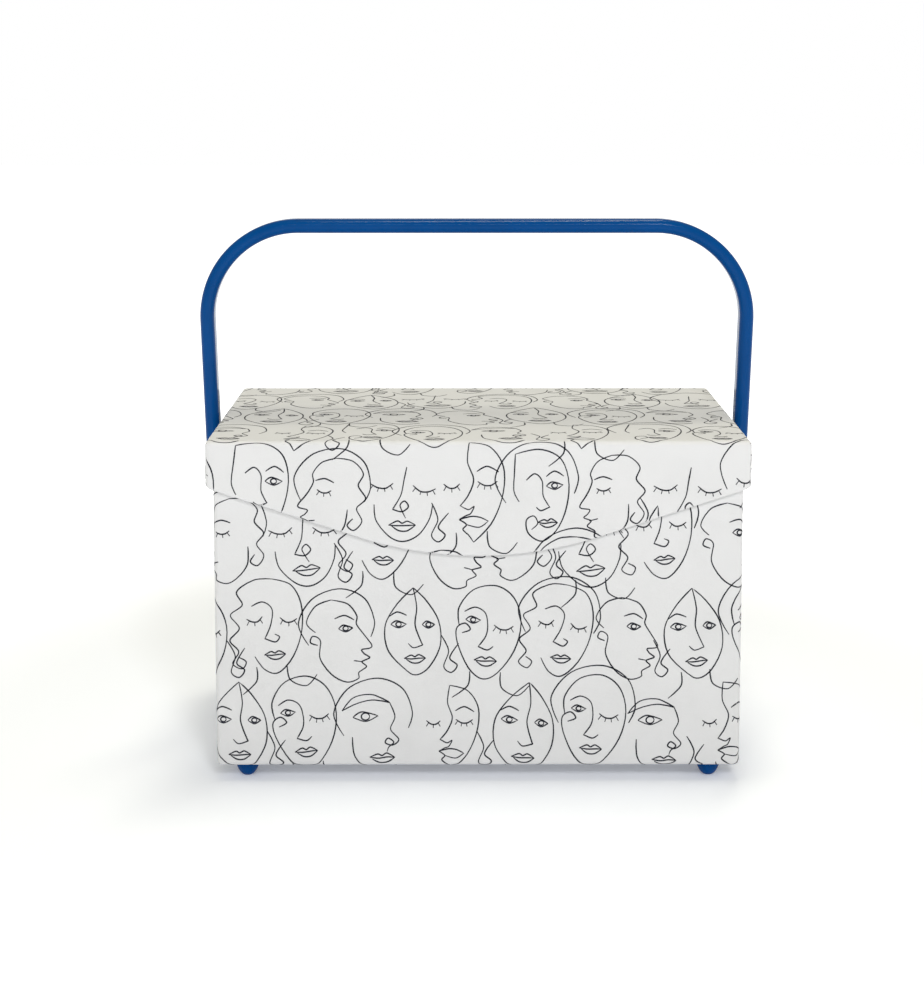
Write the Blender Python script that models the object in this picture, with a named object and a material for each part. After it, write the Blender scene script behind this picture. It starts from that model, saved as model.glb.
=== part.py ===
"""Sewing box covered in cloth, with a hinged lid, a swinging carry handle and two lift-out trays.

Metres, +Z up. The front faces -Y, and the origin is on the floor under the middle of the box.
"""

import math

import bmesh
import bpy
from mathutils import Matrix, Vector

# Sheet stock, and the room left between pieces that touch.
GAP = 0.0003
COVER = 0.0008  # printed cloth on its paper backing
LINING = 0.0006
BOARD = 0.003  # greyboard of the walls, the base and the lid's top
SKIRT_BOARD = 0.0016  # thinner board of the lid's flap and side skirts

# Case: half length, half depth and heights over its cloth.
CASE_X, CASE_Y = 0.156, 0.0956
CASE_BOTTOM, CASE_RIM = 0.0095, 0.2017
CASE_CORNER = 0.0016

# Lid: half length, half depth, top face, the skirts' lower edge and the flap's lowest point.
LID_X, LID_Y, LID_TOP = 0.160, 0.100, 0.207
SKIRT_BOTTOM, FLAP_BOTTOM = 0.1795, 0.1384
FLAP_ARC_RADIUS, FLAP_ARC_HALF_WIDTH = 0.227, 0.071
HINGE = Vector((0, CASE_Y, 0.2004))

# Handle: a flat band bent into a bail, whose legs lean in a little towards their pivots.
PIVOT_Z = 0.1685
BOW_TOP, BOW_HALF_WIDTH, BOW_CORNER = 0.3304, 0.1745, 0.062
BOW_LEAN = math.radians(1.95)
BAND_THICK, BAND_DEEP, BAND_EDGE = 0.009, 0.017, 0.0032
PIN_RADIUS, PIN_HOLE_RADIUS = 0.0025, 0.0028

# Feet and their screws.
FOOT_X, FOOT_Y, FOOT_RADIUS, FOOT_FLAT_RADIUS = 0.139, 0.0816, 0.0071, 0.003
SCREW_RADIUS, SCREW_HOLE_RADIUS = 0.0015, 0.0018

# Trays, and the ledges they rest on.
TRAY_INNER_X, TRAY_OUTER_X, TRAY_Y = 0.0015, 0.148, 0.0836
TRAY_HEIGHT, TRAY_WALL = 0.040, 0.002
LEDGE_TOP, LEDGE_HEIGHT, LEDGE_WIDTH = 0.1422, 0.020, 0.0117

# Each sheet lies inside the one before it.
WALL_X, WALL_Y = CASE_X - COVER - GAP, CASE_Y - COVER - GAP
WALL_IN_X, WALL_IN_Y = WALL_X - BOARD, WALL_Y - BOARD
LINING_X, LINING_Y = WALL_IN_X - GAP, WALL_IN_Y - GAP
CAVITY_X, CAVITY_Y = LINING_X - LINING, LINING_Y - LINING
BASE_BOARD_BOTTOM = CASE_BOTTOM + COVER + GAP
BASE_BOARD_TOP = BASE_BOARD_BOTTOM + BOARD
WALL_TOP = CASE_RIM - COVER - GAP
LID_BOARD_TOP = LID_TOP - COVER - GAP
LID_BOARD_BOTTOM = LID_BOARD_TOP - BOARD
LID_LINING_TOP = LID_BOARD_BOTTOM - GAP
LID_UNDERSIDE = LID_LINING_TOP - LINING
LID_BOARD_X, LID_BOARD_Y = LID_X - COVER - GAP, LID_Y - COVER - GAP
TRAY_BOTTOM = LEDGE_TOP + GAP


def material(name, colour, roughness, metallic=0.0):
    made = bpy.data.materials.new(name)
    made.use_nodes = True
    shader = made.node_tree.nodes["Principled BSDF"]
    shader.inputs["Base Color"].default_value = (*colour, 1)
    shader.inputs["Roughness"].default_value = roughness
    shader.inputs["Metallic"].default_value = metallic
    return made


def empty(name, location, parent=None):
    made = bpy.data.objects.new(name, None)
    made.empty_display_size = 0.02
    bpy.context.scene.collection.objects.link(made)
    put(made, location, parent)
    return made


def put(obj, location, parent):
    """Places obj at a point of the scene, under a parent that is itself not turned."""
    obj.location = Vector(location)
    if parent:
        obj.parent = parent
        above = parent
        while above:
            obj.location -= above.location
            above = above.parent


def finish(name, shape, location, look, parent=None):
    """Makes the object of a bmesh whose points are measured from location."""
    bmesh.ops.recalc_face_normals(shape, faces=shape.faces)
    mesh = bpy.data.meshes.new(name)
    shape.to_mesh(mesh)
    shape.free()
    made = bpy.data.objects.new(name, mesh)
    bpy.context.scene.collection.objects.link(made)
    put(made, location, parent)
    if look:
        mesh.materials.append(look)
    return made


def box(name, low, high, look, parent=None):
    low, high = Vector(low), Vector(high)
    shape = bmesh.new()
    bmesh.ops.create_cube(shape, size=1)
    bmesh.ops.scale(shape, vec=high - low, verts=shape.verts)
    return finish(name, shape, (low + high) / 2, look, parent)


def prism(name, outline, start, end, look, parent=None):
    """Extrudes an outline of (x, z) points along Y from start to end."""
    shape = bmesh.new()
    face = shape.faces.new([shape.verts.new((x, start, z)) for x, z in outline])
    grown = bmesh.ops.extrude_face_region(shape, geom=[face])["geom"]
    moved = [item for item in grown if isinstance(item, bmesh.types.BMVert)]
    bmesh.ops.translate(shape, vec=(0, end - start, 0), verts=moved)
    origin = parent.location if parent else Vector((0, 0, 0))
    bmesh.ops.translate(shape, vec=-origin, verts=shape.verts)
    return finish(name, shape, origin, look, parent)


def turned(name, profile, location, look, parent=None, axis="Z", steps=24):
    """Turns (radius, height) points round an axis through location. A radius of 0 closes an end."""
    shape = bmesh.new()
    rings = []
    for radius, height in profile:
        count = steps if radius else 1
        turn = math.tau / count
        rings.append([
            shape.verts.new((radius * math.cos(k * turn), radius * math.sin(k * turn), height))
            for k in range(count)
        ])
    closed = len(rings[0]) > 1
    pairs = list(zip(rings, rings[1:]))
    if closed:
        pairs.append((rings[-1], rings[0]))
    for first, second in pairs:
        for k in range(steps):
            corners = [first[k % len(first)], first[(k + 1) % len(first)]]
            corners += [second[(k + 1) % len(second)], second[k % len(second)]]
            shape.faces.new(list(dict.fromkeys(corners)))
    if axis == "X":
        turn = Matrix.Rotation(math.radians(90), 3, "Y")
        bmesh.ops.rotate(shape, cent=(0, 0, 0), matrix=turn, verts=shape.verts)
    if axis == "Y":
        turn = Matrix.Rotation(math.radians(90), 3, "X")
        bmesh.ops.rotate(shape, cent=(0, 0, 0), matrix=turn, verts=shape.verts)
    made = finish(name, shape, location, look, parent)
    made.data.shade_smooth()
    made.data.set_sharp_from_angle(angle=math.radians(35))
    return made


def rod(name, radius, length, location, axis, look=None, steps=16):
    profile = [(0, -length / 2), (radius, -length / 2), (radius, length / 2), (0, length / 2)]
    return turned(name, profile, location, look, axis=axis, steps=steps)


def cut(target, cutter):
    cutter.hide_render = True
    cutter.display_type = "WIRE"
    modifier = target.modifiers.new("cut", "BOOLEAN")
    modifier.operation = "DIFFERENCE"
    modifier.object = cutter


def join(target, other):
    """Adds a helper's shape to target."""
    other.hide_render = True
    other.display_type = "WIRE"
    modifier = target.modifiers.new("join", "BOOLEAN")
    modifier.operation = "UNION"
    modifier.object = other


def round_edges(target, width, segments=2):
    modifier = target.modifiers.new("round", "BEVEL")
    modifier.width = width
    modifier.segments = segments
    modifier.limit_method = "ANGLE"


def rounded_rectangle(half_x, half_y, radius, steps=3):
    """Points counter-clockwise round a rectangle with round corners."""
    points = []
    for quarter, (side_x, side_y) in enumerate(((1, 1), (-1, 1), (-1, -1), (1, -1))):
        for k in range(steps + 1):
            turn = math.radians(90) * (quarter + k / steps)
            x = side_x * (half_x - radius) + radius * math.cos(turn)
            y = side_y * (half_y - radius) + radius * math.sin(turn)
            points.append((x, y))
    return points


def sleeve(name, half_x, half_y, corner, profile, look):
    """A band round the case. The profile's (inset, z) points run round the band's own section."""
    shape = bmesh.new()
    rings = []
    for inset, z in profile:
        radius = max(corner - inset, GAP / 3)
        outline = rounded_rectangle(half_x - inset, half_y - inset, radius)
        rings.append([shape.verts.new((x, y, z)) for x, y in outline])
    for first, second in zip(rings, rings[1:] + rings[:1]):
        for k in range(len(first)):
            after = (k + 1) % len(first)
            shape.faces.new((first[k], first[after], second[after], second[k]))
    return finish(name, shape, (0, 0, 0), look)


def flap_edge(half_width, lift=0.0, steps=12):
    """The flap's lower edge from left to right: straight flanks that run into a round middle."""
    slope = FLAP_ARC_HALF_WIDTH / math.sqrt(FLAP_ARC_RADIUS**2 - FLAP_ARC_HALF_WIDTH**2)
    centre_z = FLAP_BOTTOM + FLAP_ARC_RADIUS
    reach = math.asin(FLAP_ARC_HALF_WIDTH / FLAP_ARC_RADIUS)
    points = []
    for k in range(steps + 1):
        turn = reach * (2 * k / steps - 1)
        points.append((FLAP_ARC_RADIUS * math.sin(turn), centre_z - FLAP_ARC_RADIUS * math.cos(turn)))
    flank_z = points[0][1] + slope * (half_width - FLAP_ARC_HALF_WIDTH)
    points = [(-half_width, flank_z), *points, (half_width, flank_z)]
    return [(x, z + lift) for x, z in points]


def lid_shell(name, half_x, front, back, top, thickness, lift, back_lip, look, parent):
    """A sheet folded over the lid: its top, front flap, side skirts and, if it has one, back lip."""
    shape = bmesh.new()
    vert = lambda x, y, z: shape.verts.new(Vector((x, y, z)) - parent.location)
    skirt = SKIRT_BOTTOM + lift
    top_front = [vert(-half_x, front, top), vert(half_x, front, top)]
    top_back = [vert(-half_x, back, top), vert(half_x, back, top)]
    edge = flap_edge(half_x, lift)
    hem = [vert(x, front, z) for x, z in [(-half_x, skirt), *edge[1:-1], (half_x, skirt)]]
    skirt_back = [vert(-half_x, back, skirt), vert(half_x, back, skirt)]
    shape.faces.new([top_front[0], top_front[1], top_back[1], top_back[0]])
    shape.faces.new([top_front[1], top_front[0], *hem])
    sides = [[top_back[side], skirt_back[side]] for side in (0, 1)]
    if back_lip:
        lip = [vert(-half_x, back, top - back_lip), vert(half_x, back, top - back_lip)]
        shape.faces.new([top_back[0], top_back[1], lip[1], lip[0]])
        sides = [[top_back[side], lip[side], skirt_back[side]] for side in (0, 1)]
    shape.faces.new([top_front[0], *sides[0], hem[0]])
    shape.faces.new([*reversed(sides[1]), top_front[1], hem[-1]])
    made = finish(name, shape, parent.location, look, parent)
    modifier = made.modifiers.new("thickness", "SOLIDIFY")
    modifier.thickness = thickness
    modifier.offset = -1
    modifier.use_even_offset = True
    modifier.use_quality_normals = True
    return made


def make_case(looks):
    wall, cloth, lining = looks["greyboard"], looks["printed_cloth"], looks["lining_cloth"]
    base_low = (-LINING_X, -LINING_Y, BASE_BOARD_BOTTOM)
    base = box("base_board", base_low, (LINING_X, LINING_Y, BASE_BOARD_TOP), wall)
    under_low = (-WALL_X, -WALL_Y, CASE_BOTTOM)
    under_high = (WALL_X, WALL_Y, CASE_BOTTOM + COVER)
    under = box("base_cover", under_low, under_high, looks["base_cloth"])
    low, top = BASE_BOARD_BOTTOM, WALL_TOP
    front = box("front_wall_board", (-WALL_X, -WALL_Y, low), (WALL_X, -WALL_IN_Y, top), wall)
    box("back_wall_board", (-WALL_X, WALL_IN_Y, low), (WALL_X, WALL_Y, top), wall)
    reach = LINING_Y
    left = box("left_wall_board", (-WALL_X, -reach, low), (-WALL_IN_X, reach, top), wall)
    right = box("right_wall_board", (WALL_IN_X, -reach, low), (WALL_X, reach, top), wall)

    edge = COVER / 2
    lip = CASE_X - CAVITY_X
    cover = sleeve("case_cover", CASE_X, CASE_Y, CASE_CORNER, [
        (edge, CASE_BOTTOM), (0, CASE_BOTTOM + edge), (0, CASE_RIM - edge), (edge, CASE_RIM),
        (lip, CASE_RIM), (lip, CASE_RIM - COVER), (COVER, CASE_RIM - COVER), (COVER, CASE_BOTTOM),
    ], cloth)
    lining_bottom = BASE_BOARD_TOP + GAP
    sleeve("case_lining", LINING_X, LINING_Y, GAP, [
        (0, lining_bottom), (0, WALL_TOP), (LINING, WALL_TOP), (LINING, lining_bottom),
    ], lining)
    pad_x, pad_y, pad_bottom = CAVITY_X - GAP, CAVITY_Y - GAP, BASE_BOARD_TOP + 0.002
    pad = box("base_pad", (-pad_x, -pad_y, pad_bottom), (pad_x, pad_y, pad_bottom + 0.0022), lining)
    round_edges(pad, 0.0008, 1)

    ledge_x, ledge_out, ledge_in = CAVITY_X - GAP, CAVITY_Y - GAP, CAVITY_Y - GAP - LEDGE_WIDTH
    ledge_low = LEDGE_TOP - LEDGE_HEIGHT
    wood = looks["ledge_wood"]
    box("front_tray_ledge", (-ledge_x, -ledge_out, ledge_low), (ledge_x, -ledge_in, LEDGE_TOP), wood)
    box("back_tray_ledge", (-ledge_x, ledge_in, ledge_low), (ledge_x, ledge_out, LEDGE_TOP), wood)
    return base, under, front, left, right, cover


def make_feet(looks, base, under):
    top = CASE_BOTTOM - GAP
    bore_bottom = 0.0035
    head_bottom = BASE_BOARD_TOP + GAP
    # The dome is an arc that runs from its edge, full width at the top, to the flat it stands on.
    dome = [(FOOT_RADIUS, top)]
    steps = 6
    reach = math.acos(FOOT_FLAT_RADIUS / FOOT_RADIUS)
    for k in range(1, steps + 1):
        turn = reach * k / steps
        dome.append((FOOT_RADIUS * math.cos(turn), top - top * math.sin(turn) / math.sin(reach)))
    hole = SCREW_HOLE_RADIUS
    outline = [(0, bore_bottom), (hole, bore_bottom), (hole, top), *dome, (0, 0)]
    screw = [
        (0, bore_bottom + GAP), (SCREW_RADIUS, bore_bottom + 2 * GAP), (SCREW_RADIUS, head_bottom),
        (0.003, head_bottom), (0.003, head_bottom + 0.0007), (0.0022, head_bottom + 0.0013),
        (0, head_bottom + 0.0014),
    ]
    corners = [(end, side) for end in ("front", "back") for side in ("left", "right")]
    for end, side in corners:
        x = -FOOT_X if side == "left" else FOOT_X
        y = -FOOT_Y if end == "front" else FOOT_Y
        turned(f"{end}_{side}_foot", outline, (x, y, 0), looks["blue_plastic"])
        turned(f"{end}_{side}_foot_screw", screw, (x, y, 0), looks["steel"], steps=12)
        through = rod(f"{end}_{side}_screw_hole", hole, 0.02, (x, y, BASE_BOARD_BOTTOM), "Z")
        cut(base, through)
        cut(under, through)


def make_brackets(looks, cover, walls):
    """Plates on the case's sides. Each carries a boss that the handle's pin turns in."""
    plate_in = CASE_X + GAP
    plate_out, boss_out = plate_in + 0.003, plate_in + 0.0045
    plate_top, plate_low, half_width = PIVOT_Z + 0.009, PIVOT_Z - 0.0345, 0.009
    for side, sign in (("left", -1), ("right", 1)):
        middle = (plate_in + plate_out) / 2 * sign
        size = Vector((plate_out - plate_in, 2 * half_width, plate_top - plate_low))
        centre = Vector((middle, 0, (plate_top + plate_low) / 2))
        plate = box(f"{side}_handle_bracket", centre - size / 2, centre + size / 2, looks["blue_plastic"])
        round_upright_corners(plate, 0.008)
        boss_x = (plate_in + 0.001 + boss_out) / 2 * sign
        boss_long = boss_out - plate_in - 0.001
        join(plate, rod(f"{side}_boss", 0.0085, boss_long, (boss_x, 0, PIVOT_Z), "X", steps=24))
        cut(plate, rod(f"{side}_pin_hole", PIN_HOLE_RADIUS, 0.02, (middle, 0, PIVOT_Z), "X"))
        tail_room = 0.004
        cut(plate, rod(f"{side}_tail_room", 0.0055, tail_room, (plate_in * sign, 0, PIVOT_Z), "X"))
        for place, drop in (("upper", 0.0155), ("lower", 0.0265)):
            z = PIVOT_Z - drop
            head_in = plate_out + GAP
            tail_out = WALL_IN_X + 0.0008
            rivet = [
                (0, WALL_IN_X), (0.003, WALL_IN_X), (0.003, tail_out), (SCREW_RADIUS, tail_out),
                (SCREW_RADIUS, head_in), (0.003, head_in), (0.0027, head_in + 0.0007), (0, head_in + 0.0011),
            ]
            outline = [(radius, x * sign) for radius, x in rivet]
            turned(f"{side}_{place}_rivet", outline, (0, 0, z), looks["steel"], axis="X", steps=12)
            hole = rod(f"{side}_{place}_rivet_hole", SCREW_HOLE_RADIUS, 0.02, (middle, 0, z), "X", steps=12)
            for piece in (plate, cover, walls[side]):
                cut(piece, hole)
            room = rod(f"{side}_{place}_tail_room", 0.0034, 0.0022, (WALL_IN_X * sign, 0, z), "X", steps=12)
            cut(walls[side], room)


def round_upright_corners(plate, radius, segments=5):
    """Rounds the four edges of a plate that run along X."""
    shape = bmesh.new()
    shape.from_mesh(plate.data)
    edges = [e for e in shape.edges if abs((e.verts[0].co - e.verts[1].co).normalized().x) > 0.99]
    bmesh.ops.bevel(shape, geom=edges, offset=radius, segments=segments, profile=0.5, affect="EDGES")
    shape.to_mesh(plate.data)
    shape.free()


def make_lid(looks, hinge):
    wall, lining = looks["greyboard"], looks["lining_cloth"]
    x, y, top = LID_BOARD_X, LID_BOARD_Y, LID_LINING_TOP
    box("lid_board", (-x, -y, LID_BOARD_BOTTOM), (x, y, LID_BOARD_TOP), wall, hinge)
    hem = flap_edge(x, COVER)
    flap_in = -y + SKIRT_BOARD
    flap = prism("flap_board", [(-x, top), *hem, (x, top)], -y, flap_in, wall, hinge)
    low, skirt_in = SKIRT_BOTTOM + COVER, x - SKIRT_BOARD
    front = flap_in + GAP
    box("left_skirt_board", (-x, front, low), (-skirt_in, y, top), wall, hinge)
    box("right_skirt_board", (skirt_in, front, low), (x, y, top), wall, hinge)
    lid_shell("lid_cover", LID_X, -LID_Y, LID_Y, LID_TOP, COVER, 0, 0.0038, looks["printed_cloth"], hinge)
    lid_shell(
        "lid_lining", skirt_in - GAP, front, y, top, LINING, 2 * COVER, 0, lining, hinge,
    )

    under = LID_UNDERSIDE - GAP
    cushion = box("pincushion", (-0.125, -0.055, under - 0.011), (-0.045, 0.035, under), looks["felt"], hinge)
    round_edges(cushion, 0.003)
    box("lid_pocket", (-0.025, -0.066, under - 0.0016), (0.130, 0.045, under), lining, hinge)
    band_high = (0.130, -0.066 - GAP, under)
    box("pocket_band", (-0.025, -0.074, under - 0.0024), band_high, looks["elastic"], hinge)
    return flap


def make_catch(looks, hinge, front_wall, flap):
    """A magnet let into the flap's back meets a steel disc let into the front wall."""
    catch_z = 0.156
    disc_y = -WALL_Y + 0.0005
    rod("closure_plate", 0.009, 0.0008, (0, disc_y, catch_z), "Y", looks["steel"], steps=24)
    cut(front_wall, rod("closure_recess", 0.0094, 0.0022, (0, -WALL_Y, catch_z), "Y", steps=24))
    flap_in = -LID_BOARD_Y + SKIRT_BOARD
    magnet = rod("flap_magnet", 0.006, 0.0008, (0, flap_in - 0.0005, catch_z), "Y", looks["steel"], steps=24)
    put(magnet, (0, flap_in - 0.0005, catch_z), hinge)
    cut(flap, rod("magnet_recess", 0.0064, 0.0022, (0, flap_in, catch_z), "Y", steps=24))


def make_hinge_tape(look):
    """A cloth tape folded into the corner between the back wall's lining and the lid's underside."""
    thick = 0.0004
    back, under = CAVITY_Y - GAP, LID_UNDERSIDE - GAP
    front, low, half_length = 0.070, 0.179, 0.140
    section = [
        (back, low), (back, under), (front, under), (front, under - thick),
        (back - thick, under - thick), (back - thick, low),
    ]
    shape = bmesh.new()
    ends = [[shape.verts.new((x, y, z)) for y, z in section] for x in (-half_length, half_length)]
    for side in ends:
        shape.faces.new(side)
    for k in range(len(section)):
        after = (k + 1) % len(section)
        shape.faces.new((ends[0][k], ends[0][after], ends[1][after], ends[1][k]))
    finish("hinge_tape", shape, (0, 0, 0), look)


def bow_stations(arc_steps=10):
    """The band's middle line from the left pivot up, across and down: (point, outward direction)."""
    radius = BOW_CORNER - BAND_THICK / 2
    centre_x = BOW_HALF_WIDTH - BOW_CORNER
    centre_z = BOW_TOP - BOW_CORNER
    half = []
    for k in range(arc_steps + 1):
        turn = math.radians(90) - k / arc_steps * (math.radians(90) + BOW_LEAN)
        outward = Vector((math.cos(turn), 0, math.sin(turn)))
        half.append((Vector((centre_x, 0, centre_z)) + radius * outward, outward))
    last, outward = half[-1]
    down = Vector((-math.sin(BOW_LEAN), 0, -math.cos(BOW_LEAN)))
    half.append((last + down * (last.z - PIVOT_Z) / -down.z, outward))
    flip = Matrix.Scale(-1, 3, (1, 0, 0))
    return [(flip @ point, flip @ outward) for point, outward in reversed(half)] + half


def make_bow(look, pivot):
    stations = [(point, outward, 1.0) for point, outward in bow_stations()]
    # Each leg ends in a half disc round its pivot.
    first, last = stations[0], stations[-1]
    for turn in (math.radians(30), math.radians(55), math.radians(75)):
        for end, outward, _ in (first, last):
            side = math.copysign(1, outward.x)
            down = Vector((-side * math.sin(BOW_LEAN), 0, -math.cos(BOW_LEAN)))
            station = (end + down * BAND_DEEP / 2 * math.sin(turn), outward, math.cos(turn))
            stations.insert(0 if side < 0 else len(stations), station)
    outline = rounded_rectangle(BAND_THICK / 2, BAND_DEEP / 2, BAND_EDGE)
    shape = bmesh.new()
    rings = []
    for point, outward, width in stations:
        places = [point + outward * u + Vector((0, v * width, 0)) for u, v in outline]
        rings.append([shape.verts.new(place - pivot.location) for place in places])
    for near, far in zip(rings, rings[1:]):
        for k in range(len(outline)):
            after = (k + 1) % len(outline)
            shape.faces.new((near[k], near[after], far[after], far[k]))
    shape.faces.new(rings[0])
    shape.faces.new(rings[-1])
    bow = finish("handle_bow", shape, pivot.location, look, pivot)
    bow.data.shade_smooth()
    bow.data.set_sharp_from_angle(angle=math.radians(50))
    leg_x = abs(first[0].x)
    for side, sign in (("left", -1), ("right", 1)):
        cut(bow, rod(f"{side}_leg_hole", PIN_HOLE_RADIUS, 0.03, (sign * leg_x, 0, PIVOT_Z), "X"))
    return leg_x


def make_pins(looks, pins, leg_x):
    tail_in = CASE_X + GAP + 0.0004
    tail_out = tail_in + 0.0013
    head_in = leg_x + BAND_THICK / 2 + 0.0005
    pin = [
        (0, tail_in), (0.0045, tail_in), (0.0045, tail_out), (PIN_RADIUS, tail_out),
        (PIN_RADIUS, head_in), (0.006, head_in), (0.006, head_in + 0.0006), (0.0045, head_in + 0.0017),
        (0, head_in + 0.0022),
    ]
    washer_in = CASE_X + GAP + 0.0045 + GAP
    washer_out = washer_in + 0.0006
    washer = [
        (PIN_HOLE_RADIUS, washer_in), (0.0065, washer_in), (0.0065, washer_out),
        (PIN_HOLE_RADIUS, washer_out),
    ]
    for side, sign in (("left", -1), ("right", 1)):
        outline = [(radius, x * sign) for radius, x in pin]
        turned(f"{side}_pivot_pin", outline, (0, 0, PIVOT_Z), looks["steel"], pins, "X", 20)
        outline = [(radius, x * sign) for radius, x in washer]
        turned(f"{side}_pivot_washer", outline, (0, 0, PIVOT_Z), looks["nylon"], pins, "X", 20)


def make_tray(side, sign, cells, look, guide):
    """An open tray. Each cell is (x from, x to, y from, y to) in parts of the tray's inner size."""
    low = Vector((min(sign * TRAY_INNER_X, sign * TRAY_OUTER_X), -TRAY_Y, TRAY_BOTTOM))
    size = Vector((TRAY_OUTER_X - TRAY_INNER_X, 2 * TRAY_Y, TRAY_HEIGHT))
    tray = box(f"{side}_tray", low, low + size, look, guide)
    inner = low + Vector((TRAY_WALL / 2, TRAY_WALL / 2, TRAY_WALL))
    room = size - Vector((TRAY_WALL, TRAY_WALL, 0))
    for number, (x0, x1, y0, y1) in enumerate(cells):
        start = inner + Vector((x0 * room.x + TRAY_WALL / 2, y0 * room.y + TRAY_WALL / 2, 0))
        end = inner + Vector((x1 * room.x - TRAY_WALL / 2, y1 * room.y - TRAY_WALL / 2, room.z))
        cut(tray, box(f"{side}_tray_cell_{number}", start, end, None))
    # Finger scoops in the two outer walls, to lift the tray by.
    middle = low + size / 2
    place = (middle.x, 0, TRAY_BOTTOM + TRAY_HEIGHT + 0.003)
    cut(tray, rod(f"{side}_tray_scoops", 0.012, size.x + 0.02, place, "X", steps=24))


def main():
    for obj in list(bpy.data.objects):
        bpy.data.objects.remove(obj)
    looks = {
        "printed_cloth": material("printed_cloth", (0.76, 0.76, 0.75), 0.85),
        "base_cloth": material("base_cloth", (0.30, 0.31, 0.33), 0.9),
        "lining_cloth": material("lining_cloth", (0.70, 0.71, 0.72), 0.85),
        "greyboard": material("greyboard", (0.33, 0.31, 0.28), 0.9),
        "blue_plastic": material("blue_plastic", (0.004, 0.068, 0.27), 0.3),
        "steel": material("steel", (0.62, 0.62, 0.63), 0.3, 1.0),
        "nylon": material("nylon", (0.75, 0.75, 0.73), 0.4),
        "ledge_wood": material("ledge_wood", (0.55, 0.38, 0.21), 0.6),
        "felt": material("felt", (0.01, 0.09, 0.32), 0.95),
        "elastic": material("elastic", (0.01, 0.08, 0.30), 0.8),
        "tray_plastic": material("tray_plastic", (0.72, 0.76, 0.80), 0.35),
    }
    hinge = empty("lid_hinge", HINGE)
    pins = empty("pins_pivot", (0, 0, PIVOT_Z))
    pivot = empty("handle_pivot", (0, 0, PIVOT_Z))
    left_guide = empty("left_tray_guide", (-TRAY_OUTER_X / 2, 0, TRAY_BOTTOM))
    right_guide = empty("right_tray_guide", (TRAY_OUTER_X / 2, 0, TRAY_BOTTOM))

    base, under, front_wall, left_wall, right_wall, cover = make_case(looks)
    make_feet(looks, base, under)
    make_brackets(looks, cover, {"left": left_wall, "right": right_wall})
    flap = make_lid(looks, hinge)
    make_catch(looks, hinge, front_wall, flap)
    make_hinge_tape(looks["lining_cloth"])
    leg_x = make_bow(looks["blue_plastic"], pivot)
    make_pins(looks, pins, leg_x)
    half, third = 0.5, 0.36
    quarters = [(0, half, 0, half), (half, 1, 0, half), (0, half, half, 1), (half, 1, half, 1)]
    thirds = [(0, third, 0, 1), (third, 1, 0, half), (third, 1, half, 1)]
    make_tray("left", -1, quarters, looks["tray_plastic"], left_guide)
    make_tray("right", 1, thirds, looks["tray_plastic"], right_guide)


main()
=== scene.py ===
"""The looks of a sewing box: printed cloth over boards, a moulded carry handle and two lift-out trays.

Metres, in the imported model's frame: +Z up, the front faces -Y.
"""

from math import acos, atan2, ceil, copysign, cos, dist, exp, hypot, pi, radians, sin, sqrt, tau

import bmesh
import bpy
from mathutils import Matrix, Vector

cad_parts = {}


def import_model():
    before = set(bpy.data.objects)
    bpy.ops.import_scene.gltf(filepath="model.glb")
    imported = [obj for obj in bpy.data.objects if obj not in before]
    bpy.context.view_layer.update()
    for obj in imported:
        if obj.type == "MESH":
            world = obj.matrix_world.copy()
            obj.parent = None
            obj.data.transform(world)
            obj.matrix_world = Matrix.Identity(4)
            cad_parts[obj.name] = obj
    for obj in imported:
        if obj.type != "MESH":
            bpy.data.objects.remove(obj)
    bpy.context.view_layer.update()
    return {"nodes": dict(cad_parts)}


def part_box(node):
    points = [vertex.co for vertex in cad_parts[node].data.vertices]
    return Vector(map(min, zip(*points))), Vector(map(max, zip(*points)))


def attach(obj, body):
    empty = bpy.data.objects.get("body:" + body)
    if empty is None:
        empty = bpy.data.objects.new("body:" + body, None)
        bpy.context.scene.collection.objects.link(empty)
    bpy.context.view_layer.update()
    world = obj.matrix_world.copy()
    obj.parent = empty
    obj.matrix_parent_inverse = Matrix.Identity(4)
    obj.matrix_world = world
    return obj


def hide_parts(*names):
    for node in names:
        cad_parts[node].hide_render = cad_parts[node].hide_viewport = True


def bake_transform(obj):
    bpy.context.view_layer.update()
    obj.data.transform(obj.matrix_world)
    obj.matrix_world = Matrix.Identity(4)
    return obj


MM = 0.001
QUARTER = radians(90)
WALLS = ["front_wall_board", "back_wall_board", "left_wall_board", "right_wall_board"]

# Cloth thicknesses, and the radii that the cloth takes where it turns.
CLOTH, LINING, GAP = 0.8 * MM, 0.6 * MM, 0.3 * MM
CASE_FOLD, RIM_FOLD = 3 * MM, 1.2 * MM
LID_FOLD, HEM_ROLL = 3 * MM, 1.65 * MM
FLAP_ARC_RADIUS, FLAP_ARC_HALF_WIDTH = 227 * MM, 71 * MM
FOLD_ROWS = 6
FAR = 10.0  # past every piece: a box's side that isn't to be rounded lies there

# The print: line drawings of faces, in rows.
FACE_HIGH, FACE_STRETCH = 58 * MM, 1.14
COLUMN_PITCH, ROW_PITCH = 41.93 * MM, 57.6 * MM
PEN_WIDTH, INK_LIFT, INK_SUNK = 0.84 * MM, 0.06 * MM, 0.1 * MM
SAMPLE_STEP, LONGEST_STEP, FOLD_STEP = 0.5 * MM, 4 * MM, 0.7 * MM
SHORTEST_STROKE, PEN_LIFT = 1.5 * MM, 2.5 * MM
SHARPEST_TURN = radians(7)


# ---------------------------------------------------------------- materials

def feed(tree, socket, value):
    """Gives a socket a number, a colour or another node's output."""
    if isinstance(value, bpy.types.NodeSocket):
        tree.links.new(value, socket)
    else:
        socket.default_value = value


def node(tree, kind, settings=None, **inputs):
    """A shader node, with its inputs by name, or as i0 and i1 where two have one name."""
    made = tree.nodes.new(kind)
    for key, value in (settings or {}).items():
        setattr(made, key, value)
    for key, value in inputs.items():
        feed(tree, made.inputs[int(key[1:]) if key[1:].isdigit() else key.replace("_", " ")], value)
    return made


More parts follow.
